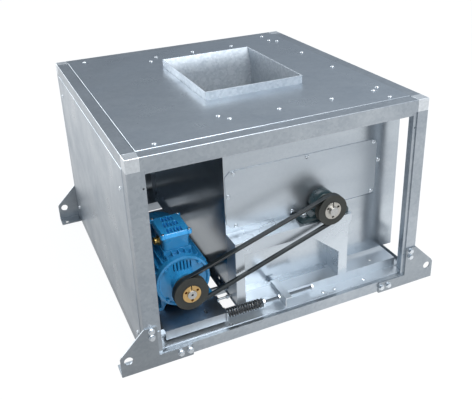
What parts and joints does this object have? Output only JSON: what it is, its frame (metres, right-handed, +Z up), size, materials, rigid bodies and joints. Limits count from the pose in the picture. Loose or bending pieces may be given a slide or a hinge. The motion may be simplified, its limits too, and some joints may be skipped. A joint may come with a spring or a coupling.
{
  "type": "belt-driven centrifugal fan",
  "caption": "Box-framed centrifugal fan with an open front, a foot-mounted motor on a sprung slide, a V-belt drive and a rectangular outlet collar on top.",
  "frame": {"origin": "on the floor under the middle of the part's box", "axes": "+X to the right along the open drive side, +Y away from the drive side towards the rear, +Z up"},
  "size_m": [0.93, 0.8596, 0.589],
  "materials": {
    "galvanised_sheet": "hot-dip galvanised, fine spangle",
    "galvanised_profile": "galvanised roll-formed",
    "corner_casting": "die cast, satin",
    "foot_plate": "hot-dip galvanised",
    "zinc_fastener": "zinc plated",
    "bright_steel": "turned, bright",
    "bearing_casting": "dark green paint",
    "bearing_ring": "ground",
    "pulley_iron": "phosphated, turned",
    "bush_steel": "bright",
    "bush_brass_tone": "yellow passivated",
    "motor_paint": "semi-gloss blue paint on cast aluminium",
    "fan_plastic": "moulded",
    "belt_rubber": "fabric-faced rubber",
    "spring_steel": "black oxide"
  },
  "bodies": {
    "cabinet": {"front_left_post": "galvanised_profile", "front_right_post": "galvanised_profile", "rear_left_post": "galvanised_profile", "rear_right_post": "galvanised_profile", "top_front_rail": "galvanised_profile", "top_rear_rail": "galvanised_profile", "top_left_rail": "galvanised_profile", "top_right_rail": "galvanised_profile", "bottom_front_rail": "galvanised_profile", "bottom_rear_rail": "galvanised_profile", "bottom_left_rail": "galvanised_profile", "bottom_right_rail": "galvanised_profile", "corner_pieces": "corner_casting", "front_left_foot": "foot_plate", "front_right_foot": "foot_plate", "rear_left_foot": "foot_plate", "rear_right_foot": "foot_plate", "foot_bolts": "zinc_fastener", "top_panel": "galvanised_sheet", "left_panel": "galvanised_sheet", "rear_panel": "galvanised_sheet", "outlet_collar": "galvanised_sheet", "sheet_screws": "zinc_fastener", "drive_wall": "galvanised_sheet", "bay_side_wall": "galvanised_sheet", "rear_wall": "galvanised_sheet", "shaft_cover": "galvanised_sheet", "lower_cover": "galvanised_sheet", "roof_strip": "galvanised_sheet", "front_tray": "galvanised_sheet", "middle_rails": "galvanised_sheet", "rear_tray": "galvanised_sheet", "front_pedestal": "galvanised_sheet", "rear_pedestal": "galvanised_sheet", "front_bearing_block": "bearing_casting", "rear_bearing_block": "bearing_casting", "bearing_bolts": "zinc_fastener", "scroll_wrap": "galvanised_sheet", "scroll_front_side": "galvanised_sheet", "scroll_rear_side": "galvanised_sheet", "tension_bracket": "galvanised_sheet", "tension_rod": "zinc_fastener", "tension_spring": "spring_steel", "drive_belt": "belt_rubber"},
    "fan_rotor": {"fan_shaft": "bright_steel", "impeller": "galvanised_sheet", "bearing_rings": "bearing_ring", "fan_pulley": "pulley_iron", "fan_bush": "bush_steel"},
    "motor_carriage": {"motor_plate": "galvanised_sheet", "motor_frame": "motor_paint", "drive_end_shield": "motor_paint", "fan_cowl": "motor_paint", "terminal_box": "motor_paint", "terminal_lid": "motor_paint", "motor_bolts": "zinc_fastener"},
    "motor_rotor": {"motor_shaft": "bright_steel", "cooling_fan": "fan_plastic", "motor_pulley": "pulley_iron", "motor_bush": "bush_brass_tone"}
  },
  "joints": [
    {"name": "fan_spin", "type": "hinge", "parent": "cabinet", "child": "fan_rotor", "pos_m": [0.136, 0, 0.293], "axis": [0, 1, 0], "continuous": true},
    {"name": "motor_slide", "type": "slide", "parent": "cabinet", "child": "motor_carriage", "axis": [1, 0, 0], "range_m": [-0.01, 0.008], "stiffness_N_per_m": 4850, "deforming": ["tension_spring", "drive_belt"]},
    {"name": "motor_spin", "type": "hinge", "parent": "motor_carriage", "child": "motor_rotor", "pos_m": [-0.265, 0, 0.163], "axis": [0, 1, 0], "continuous": true}
  ],
  "couplings": [
    {"joint": "motor_spin", "follows": "fan_spin", "ratio": 0.94118}
  ]
}
